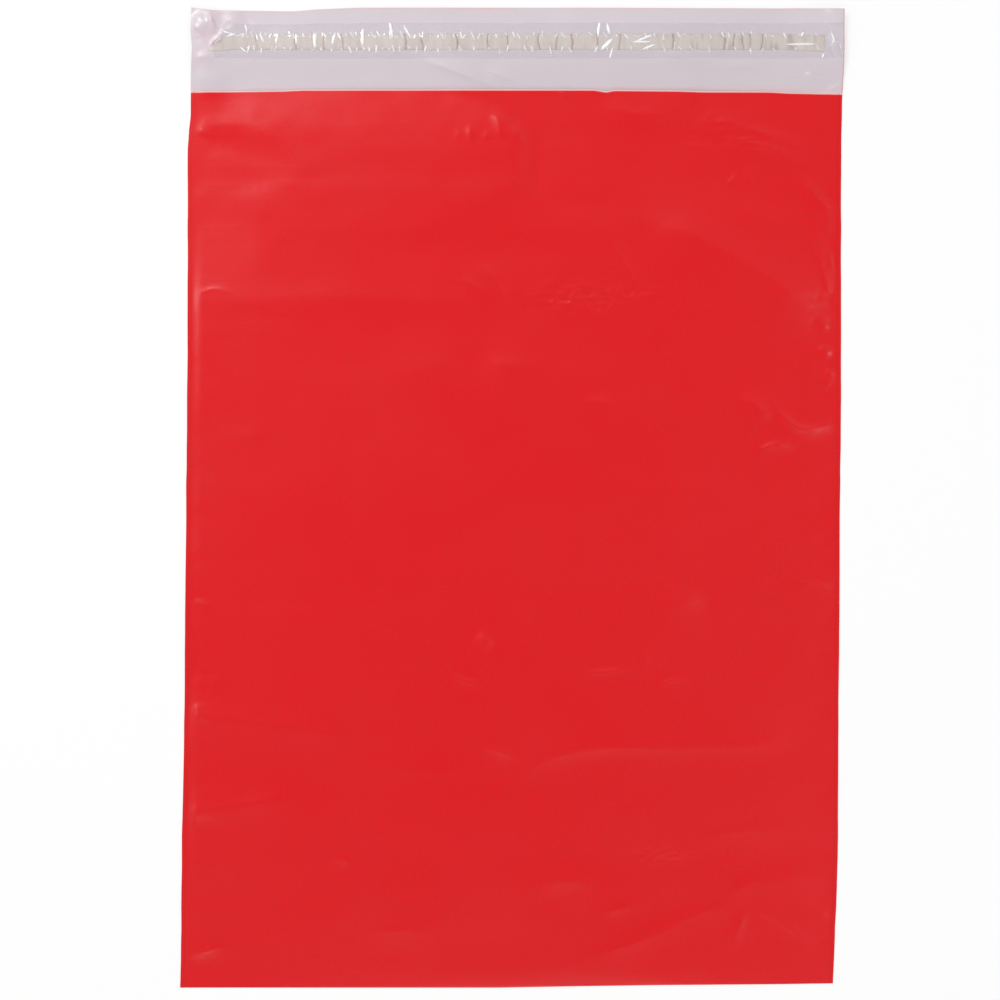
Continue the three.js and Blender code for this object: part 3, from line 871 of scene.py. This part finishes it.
def closedGrid(name, lower, upper):
    # a closed piece between two grids of points, in mm, its cells split along the more level diagonal
    nx, ny = upper.shape[:2]
    corner = np.arange(nx * ny).reshape(nx, ny)
    a, b, c, d = corner[:-1, :-1], corner[1:, :-1], corner[1:, 1:], corner[:-1, 1:]
    a, b, c, d = (q.ravel() for q in (a, b, c, d))
    z = upper[..., 2].ravel()
    level13 = (np.abs(z[a] - z[c]) <= np.abs(z[b] - z[d]))[:, None]
    first = np.where(level13, np.stack([a, b, c], 1), np.stack([a, b, d], 1))
    second = np.where(level13, np.stack([a, c, d], 1), np.stack([b, c, d], 1))
    return closedMesh(name, upper.reshape(-1, 3), lower.reshape(-1, 3), np.concatenate([first, second]))[0]


def evenGrid(long, wide, cell):
    # shares of the way along and across a strip, at points about this far apart
    along = np.linspace(0, 1, int(long / cell) + 1)
    across = np.linspace(0, 1, int(wide / cell) + 1)
    return np.meshgrid(along, across, indexing="ij")


def makeGlue():
    long, wide = glue["right"] - glue["left"], glue["top"] - glue["bottom"]
    u, v = evenGrid(long, wide, glue["cell"])
    ragged = glue["ragged"] * hills(v * 20, u * 0, 3, 3, 63)
    x = glue["left"] + long * u + ragged * np.where(u < 0.5, 1, -1) * (np.abs(u - 0.5) > 0.497)
    x = x - glue["slant"] * (1 - v) * softStep(glue["slantRun"], 0, x - glue["left"])
    dip = sum(far * softStep(start, end, x) for far, start, end in (glue["leftDip"], glue["rightDip"]))
    y = glue["bottom"] + wide * v + dip
    y = y + glue["wavy"] * hills(x, v * 0, 4.0, 1, 64) * (v * 2 - 1)
    base = filmTop(x, y) + 0.004
    inset = np.minimum(np.minimum(v, 1 - v) * wide, np.minimum(u, 1 - u) * 290)
    rim, run = glue["round"]
    rounded = rim + (1 - rim) * rise(inset, run)
    top = np.maximum(glueTop(x, y), base + 0.05) * rounded + base * (1 - rounded)
    newX, newY = onOutline(x, y)
    piece = closedGrid("hot_melt_line", np.stack([newX, newY, base], -1), np.stack([newX, newY, top], -1))
    # painted shade: the deeper the furrow, the darker the glue is painted there
    addMask(piece, "furrowShade", np.clip(-furrowDepth(x, y) * 10, 0, 1).ravel())
    return piece


def makeLiner():
    left, right = -bag["halfWidth"] + liner["sides"][0], bag["halfWidth"] - liner["sides"][1]
    wide = liner["top"] - liner["bottom"]
    u, v = evenGrid(right - left, wide, liner["cell"])
    leftEnd = left + np.interp(v, *zip(*liner["leftEnd"]))
    leftEnd = leftEnd + liner["ragged"] * hills(v * 18, u * 0, 2.5, 1, 68)
    x = leftEnd + (right - leftEnd) * u
    y = liner["bottom"] + wide * v
    y = y + liner["wavy"] * hills(x, v * 0, 26, 1, 65)
    over = withinGlue(y, 2.2, -0.3)
    over = over * softStep(glue["left"] - 3, glue["left"], x) * softStep(glue["right"] + 3, glue["right"], x)
    rest = filmTop(x, y) + liner["clearance"] + (glue["thickness"] + furrowDepth(x, y)) * over
    loose = liner["loose"] * (1 + hills(x, y, 12, 5, 66)) * (1 - over)
    raised = puckerHeight(x, y)
    under = rest + loose + raised
    newX, newY = onOutline(x, y)
    lower = np.stack([newX, newY, under], -1)
    upper = np.stack([newX, newY, under + liner["gauge"]], -1)
    piece = closedGrid("clear_liner", lower, upper)
    # this mask carries the painted highlight on the liner's puckers
    addMask(piece, "pucker", np.clip(raised / liner["fullPucker"], 0, 1).ravel())
    return piece


# Materials

def newMaterial(name):
    material = bpy.data.materials.new(name)
    material.use_nodes = True
    tree = material.node_tree
    shader = tree.nodes["Principled BSDF"]
    return material, tree, shader


def addNode(tree, kind, **settings):
    node = tree.nodes.new(kind)
    for key, value in settings.items():
        setattr(node, key, value)
    return node


def feed(tree, socket, value):
    # joins a socket to another, or gives it a plain value
    if isinstance(value, bpy.types.NodeSocket):
        tree.links.new(value, socket)
    else:
        socket.default_value = value


def mixColours(tree, amount, first, second):
    mix = addNode(tree, "ShaderNodeMix", data_type="RGBA")
    for number, value in ((0, amount), (6, first), (7, second)):
        feed(tree, mix.inputs[number], value)
    return mix.outputs[2]


def maths(tree, operation, first, second=0.0, clamp=False):
    node = addNode(tree, "ShaderNodeMath", operation=operation, use_clamp=clamp)
    feed(tree, node.inputs[0], first)
    feed(tree, node.inputs[1], second)
    return node.outputs[0]


def noiseOn(tree, scale, detail, roughness=0.5, stretch=None, shift=0):
    # noise by place on the object, stretched if asked
    place = addNode(tree, "ShaderNodeTexCoord").outputs["Object"]
    if stretch:
        mapping = addNode(tree, "ShaderNodeMapping")
        mapping.inputs["Scale"].default_value = stretch
        mapping.inputs["Location"].default_value = (shift, shift, shift)
        tree.links.new(place, mapping.inputs["Vector"])
        place = mapping.outputs["Vector"]
    node = addNode(tree, "ShaderNodeTexNoise")
    feed(tree, node.inputs["Vector"], place)
    feed(tree, node.inputs["Scale"], scale)
    feed(tree, node.inputs["Detail"], detail)
    feed(tree, node.inputs["Roughness"], roughness)
    return node.outputs["Fac"]


def newGroup(name, values, results):
    # a node group with these inputs and their usual values, and these outputs
    group = bpy.data.node_groups.new(name, "ShaderNodeTree")
    for key, value in values.items():
        socket = group.interface.new_socket(key, in_out="INPUT", socket_type="NodeSocketFloat")
        socket.default_value = value
    for key in results:
        group.interface.new_socket(key, in_out="OUTPUT", socket_type="NodeSocketFloat")
    inputs = addNode(group, "NodeGroupInput").outputs
    return group, inputs, addNode(group, "NodeGroupOutput").inputs


def fromSrgb(red, green, blue):
    def one(value):
        value = value / 255
        return value / 12.92 if value <= 0.04045 else ((value + 0.055) / 1.055) ** 2.4
    return one(red), one(green), one(blue), 1.0


def filmGrainGroup():
    # blown film's surface: fine pebbling, long draw lines, crinkles and cloudy patches
    values = {"Pebble Size": 1400.0, "Pebble": 0.5, "Draw Lines": 0.3, "Crinkle": 0.3}
    group, inputs, outputs = newGroup("filmGrain", values, ("Height", "Cloud", "Fleck"))
    pebble = noiseOn(group, inputs["Pebble Size"], 2)
    lines = noiseOn(group, 22, 5, stretch=(1.0, 14.0, 1.0))
    crinkle = maths(group, "ABSOLUTE", maths(group, "SUBTRACT", noiseOn(group, 70, 2), 0.5))
    cloud = noiseOn(group, 16, 6, roughness=0.62)
    height = maths(group, "MULTIPLY", pebble, inputs["Pebble"])
    height = maths(group, "ADD", height, maths(group, "MULTIPLY", lines, inputs["Draw Lines"]))
    height = maths(group, "ADD", height, maths(group, "MULTIPLY", crinkle, inputs["Crinkle"]))
    for name, result in (("Height", height), ("Cloud", cloud), ("Fleck", pebble)):
        group.links.new(result, outputs[name])
    return group


filmGrain = filmGrainGroup()


# soft bands on the film as it was cut, in metres
edgeBands = {
    "fromSide": 0.0017,      # middle of the weld line
    "weld": 0.0005,
    "rightEdge": 0.0008,
    "shadeAt": 0.034,        # middle of the band of painted shade on the flap, from its edge
    "shade": 0.02,
}


def distanceTo(group, place, target):
    return maths(group, "ABSOLUTE", maths(group, "SUBTRACT", place, target))


def cutEdgeGroup():
    # along the film's ends and sides, where the flap begins and on the flap
    names = ("Flap Edge", "Mouth Edge", "Under Lip", "Side Weld", "Flap Shade", "Right Edge")
    values = {"Flap Band": 0.0016, "Mouth Band": 0.0005, "Lip Band": 0.003}
    group, inputs, outputs = newGroup("cutEdges", values, names)
    place = addNode(group, "ShaderNodeUVMap", uv_map="strip")
    split = addNode(group, "ShaderNodeSeparateXYZ")
    group.links.new(place.outputs["UV"], split.inputs[0])
    across, along = split.outputs["X"], split.outputs["Y"]
    length = strip["rowStops"][-1][1] * mm
    halfWidth = bag["halfWidth"] * mm
    fromMiddle = distanceTo(group, across, halfWidth)
    weldLine = halfWidth - edgeBands["fromSide"]
    bands = (
        (along, inputs["Flap Band"]),
        (maths(group, "SUBTRACT", length, along), inputs["Mouth Band"]),
        (distanceTo(group, along, bag["flapLength"] * mm), inputs["Lip Band"]),
        (distanceTo(group, fromMiddle, weldLine), edgeBands["weld"]),
        (distanceTo(group, along, edgeBands["shadeAt"]), edgeBands["shade"]),
        (maths(group, "SUBTRACT", 2 * halfWidth, across), edgeBands["rightEdge"]),
    )
    for name, (distance, band) in zip(names, bands):
        soft = addNode(group, "ShaderNodeMapRange", interpolation_type="SMOOTHSTEP")
        for key, value in (("To Min", 1), ("To Max", 0), ("Value", distance), ("From Max", band)):
            feed(group, soft.inputs[key], value)
        group.links.new(soft.outputs["Result"], outputs[name])
    return group


cutEdges = cutEdgeGroup()


def placeGroup(tree, group, values):
    node = addNode(tree, "ShaderNodeGroup", node_tree=group)
    for key, value in values.items():
        node.inputs[key].default_value = value
    return node.outputs


def bumpFrom(tree, height, distance, strength):
    bump = addNode(tree, "ShaderNodeBump")
    bump.inputs["Strength"].default_value = strength
    bump.inputs["Distance"].default_value = distance
    tree.links.new(height, bump.inputs["Height"])
    return bump.outputs["Normal"]


def rampOf(tree, value, low, high, start=0.3, end=0.7):
    # noise mostly lies between 0.3 and 0.7
    ramp = addNode(tree, "ShaderNodeMapRange")
    for key, number in (("From Min", start), ("From Max", end), ("To Min", low), ("To Max", high)):
        ramp.inputs[key].default_value = number
    tree.links.new(value, ramp.inputs["Value"])
    return ramp.outputs["Result"]


redFilm = {
    "colour": fromSrgb(227, 21, 25),
    "cloudColour": fromSrgb(224, 17, 22),
    "fleckColour": fromSrgb(204, 30, 38),
    "cutEdgeColour": fromSrgb(248, 205, 200),
    "weldColour": fromSrgb(196, 24, 28),
    "grain": {"Pebble Size": 1500, "Pebble": 0.35, "Draw Lines": 0.7, "Crinkle": 0.5},
    "edges": {"Mouth Band": 0.0009},
    "weldShare": 0.5,
    "roughness": (0.28, 0.34),
    "bump": 0.00005,
}
paleFilm = {
    "colour": fromSrgb(212, 202, 208),
    "cloudColour": fromSrgb(206, 196, 202),
    "paintedShadeColour": fromSrgb(194, 182, 189),
    # pink where the red shows through the pale side, also used for the painted reflection of the red panel
    # under the lip
    "redShowThroughAndReflectionColour": fromSrgb(228, 176, 184),
    "hookColour": fromSrgb(140, 40, 44),
    "edgeColour": fromSrgb(205, 120, 128),
    "grain": {"Pebble Size": 1300, "Pebble": 0.35, "Draw Lines": 0.5, "Crinkle": 0.6},
    "edges": {"Flap Band": 0.0016},
    "flapPink": 0.75,        # how strongly the red shows through along the flap's edge
    "lipReflection": 0.4,          # painted reflection of the red front panel: how strong it is under the lip
    "shadeShare": 0.3,
    "rightEdgeShare": 0.7,
    "roughness": (0.3, 0.4),
    "bump": 0.00006,
}
glueLook = {
    "colour": fromSrgb(214, 204, 196),
    "darkColour": fromSrgb(206, 194, 185),
    # painted shade colour for the furrows
    "furrowShadeColour": fromSrgb(160, 140, 130),
    "roughness": (0.3, 0.5),
    "bump": 0.00012,
}
linerLook = {
    "colour": fromSrgb(200, 192, 210),
    "alpha": 0.06,
    "highlightRise": 4.0,        # how early a rising pucker takes its painted highlight
    "puckerHighlightColour": fromSrgb(255, 254, 255),
    "puckerHighlightAlpha": 0.97,
    "grain": {"Pebble Size": 900, "Pebble": 0.2, "Draw Lines": 0.3, "Crinkle": 0.8},
    "roughness": (0.1, 0.18),
    "coatRoughness": 0.06,
    "bump": 0.00004,
}


def patchesAlong(tree, scale, shift, low, high):
    # patches that change along the bag's width only
    return rampOf(tree, noiseOn(tree, scale, 4, stretch=(1, 0, 0), shift=shift), low, high)


def startFilm(name, look):
    # a film's material, with its grain and its clouded colour
    material, tree, shader = newMaterial(name)
    grain = placeGroup(tree, filmGrain, look["grain"])
    cloud = rampOf(tree, grain["Cloud"], 0, 1)
    return material, tree, shader, grain, mixColours(tree, cloud, look["colour"], look["cloudColour"])


def finishFilm(tree, shader, look, colour, rough, height, strength=1.0):
    tree.links.new(colour, shader.inputs["Base Color"])
    tree.links.new(rampOf(tree, rough, *look["roughness"]), shader.inputs["Roughness"])
    tree.links.new(bumpFrom(tree, height, look["bump"], strength), shader.inputs["Normal"])


def redFilmMaterial():
    material, tree, shader, grain, colour = startFilm("red film", redFilm)
    edges = placeGroup(tree, cutEdges, redFilm["edges"])
    colour = mixColours(tree, rampOf(tree, grain["Fleck"], 0, 0.7), colour, redFilm["fleckColour"])
    colour = mixColours(tree, edges["Mouth Edge"], colour, redFilm["cutEdgeColour"])
    weld = maths(tree, "MULTIPLY", edges["Side Weld"], redFilm["weldShare"])
    colour = mixColours(tree, weld, colour, redFilm["weldColour"])
    finishFilm(tree, shader, redFilm, colour, grain["Cloud"], grain["Height"])
    return material


def paleFilmMaterial():
    material, tree, shader, grain, colour = startFilm("pale film", paleFilm)
    edges = placeGroup(tree, cutEdges, paleFilm["edges"])
    # painted shade: a band of the flap by the lip is painted darker
    shade = maths(tree, "MULTIPLY", edges["Flap Shade"], paleFilm["shadeShare"])
    colour = mixColours(tree, shade, colour, paleFilm["paintedShadeColour"])
    flapEdge = maths(tree, "MULTIPLY", edges["Flap Edge"], patchesAlong(tree, 26, 7, -0.2, 1.1), clamp=True)
    flapEdge = maths(tree, "MULTIPLY", flapEdge, paleFilm["flapPink"])
    # painted reflection: the pale film under the lip is painted pink, as if lit by the red front panel
    # beside it
    paintedLipReflection = maths(tree, "MULTIPLY", edges["Under Lip"], patchesAlong(tree, 14, 3, 0.1, 1.0))
    paintedLipReflection = maths(tree, "MULTIPLY", paintedLipReflection, paleFilm["lipReflection"])
    tint = addNode(tree, "ShaderNodeAttribute", attribute_name="tint")
    redShowThroughAndReflection = maths(tree, "ADD", maths(tree, "ADD", flapEdge, paintedLipReflection), tint.outputs["Fac"], clamp=True)
    colour = mixColours(tree, redShowThroughAndReflection, colour, paleFilm["redShowThroughAndReflectionColour"])
    rightEdge = maths(tree, "MULTIPLY", edges["Right Edge"], paleFilm["rightEdgeShare"])
    colour = mixColours(tree, rightEdge, colour, paleFilm["edgeColour"])
    hook = addNode(tree, "ShaderNodeAttribute", attribute_name="hook")
    colour = mixColours(tree, hook.outputs["Fac"], colour, paleFilm["hookColour"])
    finishFilm(tree, shader, paleFilm, colour, grain["Cloud"], grain["Height"])
    return material


def glueMaterial():
    material, tree, shader = newMaterial("hot melt")
    ribs = noiseOn(tree, 420, 3, stretch=(1.0, 0.12, 1.0))
    colour = mixColours(tree, rampOf(tree, ribs, 0, 1), glueLook["darkColour"], glueLook["colour"])
    # painted shade along the furrows
    furrowShade = addNode(tree, "ShaderNodeAttribute", attribute_name="furrowShade")
    colour = mixColours(tree, furrowShade.outputs["Fac"], colour, glueLook["furrowShadeColour"])
    finishFilm(tree, shader, glueLook, colour, ribs, ribs, 0.8)
    return material


def linerMaterial():
    material, tree, shader = newMaterial("clear liner film")
    grain = placeGroup(tree, filmGrain, linerLook["grain"])
    # painted highlight: the puckers are painted white and made opaque, partly the real whitening of the air
    # caught under them, partly standing in for the glints on the clear film
    pucker = addNode(tree, "ShaderNodeAttribute", attribute_name="pucker").outputs["Fac"]
    white = maths(tree, "MULTIPLY", pucker, linerLook["highlightRise"], clamp=True)
    colour = mixColours(tree, white, linerLook["colour"], linerLook["puckerHighlightColour"])
    finishFilm(tree, shader, linerLook, colour, grain["Cloud"], grain["Height"])
    alpha = rampOf(tree, pucker, linerLook["alpha"], linerLook["puckerHighlightAlpha"], 0, 1)
    tree.links.new(alpha, shader.inputs["Alpha"])
    shader.inputs["Coat Weight"].default_value = 1.0
    shader.inputs["Coat Roughness"].default_value = linerLook["coatRoughness"]
    return material


# The camera looks straight down from a metre up, a little off the bag's middle, as the photograph does

view = {
    "lens": 80.0,
    "sensor": 36.0,
    "frameWidth": 491.0,     # what the frame's 1000 pixels take in
    "centre": (-5.9, -1.5),
    "clip": (0.05, 30),      # nearest and farthest that the camera sees, in metres
}


def makeCamera():
    camera = bpy.data.objects.new("camera", bpy.data.cameras.new("camera"))
    camera.data.lens = view["lens"]
    camera.data.sensor_width = view["sensor"]
    height = view["frameWidth"] * view["lens"] / view["sensor"]
    camera.location = (view["centre"][0] * mm, view["centre"][1] * mm, height * mm)
    camera.data.clip_start, camera.data.clip_end = view["clip"]
    scene.collection.objects.link(camera)
    scene.camera = camera


studio = {
    "table": 24000.0,
    "tableColour": (0.93, 0.93, 0.93, 1),
    "tableGlow": 0.74,       # share of plain white that the table shows, so that its shadows stay faint
    "skyLow": 1.0,           # strength of the sky at the horizon
    "skyHigh": 0.0,          # and overhead
}
# place in mm, size in mm, power in watts, all aimed at the bag
lamps = {
    "keySoftbox": ((-800, 1080, 1440), 480, 18.4),
    "leftLamp": ((-1100, 300, 1200), 200, 2.0),
    "sideFill": ((1250, -250, 1350), 800, 6.2),
    "frontFill": ((-100, -1450, 1300), 900, 6.3),
}


def makeLamps():
    for name, (place, size, power) in lamps.items():
        data = bpy.data.lights.new(name, "AREA")
        data.size = size * mm
        data.energy = power
        lamp = bpy.data.objects.new(name, data)
        lamp.location = [c * mm for c in place]
        lamp.rotation_euler = (-lamp.location).to_track_quat("-Z", "Y").to_euler()
        scene.collection.objects.link(lamp)


def makeTable():
    half = studio["table"] / 2 * mm
    mesh = bpy.data.meshes.new("table_top")
    corners = [(-half, -half, 0), (half, -half, 0), (half, half, 0), (-half, half, 0)]
    mesh.from_pydata(corners, [], [(0, 1, 2, 3)])
    table = bpy.data.objects.new("table_top", mesh)
    table.location.z = -0.02 * mm
    scene.collection.objects.link(table)
    material = bpy.data.materials.new("table white")
    material.use_nodes = True
    tree = material.node_tree
    tree.nodes.clear()
    plain = addNode(tree, "ShaderNodeBsdfDiffuse")
    plain.inputs["Color"].default_value = studio["tableColour"]
    glow = addNode(tree, "ShaderNodeEmission")
    rays = addNode(tree, "ShaderNodeLightPath")
    seen = maths(tree, "MAXIMUM", rays.outputs["Is Camera Ray"], rays.outputs["Is Glossy Ray"])
    seen = maths(tree, "MAXIMUM", seen, rays.outputs["Is Transmission Ray"])
    share = maths(tree, "MULTIPLY", seen, studio["tableGlow"])
    mix = addNode(tree, "ShaderNodeMixShader")
    tree.links.new(share, mix.inputs[0])
    tree.links.new(plain.outputs[0], mix.inputs[1])
    tree.links.new(glow.outputs[0], mix.inputs[2])
    output = addNode(tree, "ShaderNodeOutputMaterial")
    tree.links.new(mix.outputs[0], output.inputs["Surface"])
    mesh.materials.append(material)


def makeSky():
    # white at the horizon and dim overhead, like a studio with pale walls and a dark ceiling
    world = bpy.data.worlds.new("studio")
    world.use_nodes = True
    scene.world = world
    tree = world.node_tree
    tree.nodes.clear()
    place = addNode(tree, "ShaderNodeTexCoord")
    split = addNode(tree, "ShaderNodeSeparateXYZ")
    tree.links.new(place.outputs["Generated"], split.inputs[0])
    fromTop = maths(tree, "POWER", maths(tree, "SUBTRACT", 1.0, split.outputs["Z"], clamp=True), 0.5)
    sky = addNode(tree, "ShaderNodeBackground")
    tree.links.new(rampOf(tree, fromTop, studio["skyHigh"], studio["skyLow"], 0, 1), sky.inputs["Strength"])
    output = addNode(tree, "ShaderNodeOutputWorld")
    tree.links.new(sky.outputs[0], output.inputs["Surface"])


makeCamera()
makeLamps()
makeTable()
makeSky()
scene.view_settings.view_transform = "Standard"
print("studio ready")

film = makeFilm()
film.data.materials[0] = redFilmMaterial()
film.data.materials[1] = paleFilmMaterial()
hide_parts("bag_film")
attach(film, "root")
print("film folded")

glueLine = makeGlue()
glueLine.data.materials.append(glueMaterial())
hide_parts("adhesive_strip")
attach(glueLine, "root")
print("glue laid")

linerFilm = makeLiner()
linerFilm.data.materials.append(linerMaterial())
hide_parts("release_liner")
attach(linerFilm, "root")
print("liner laid")

for piece in (film, glueLine, linerFilm):
    piece.data.calc_loop_triangles()
    print(piece.name, len(piece.data.loop_triangles), "triangles")
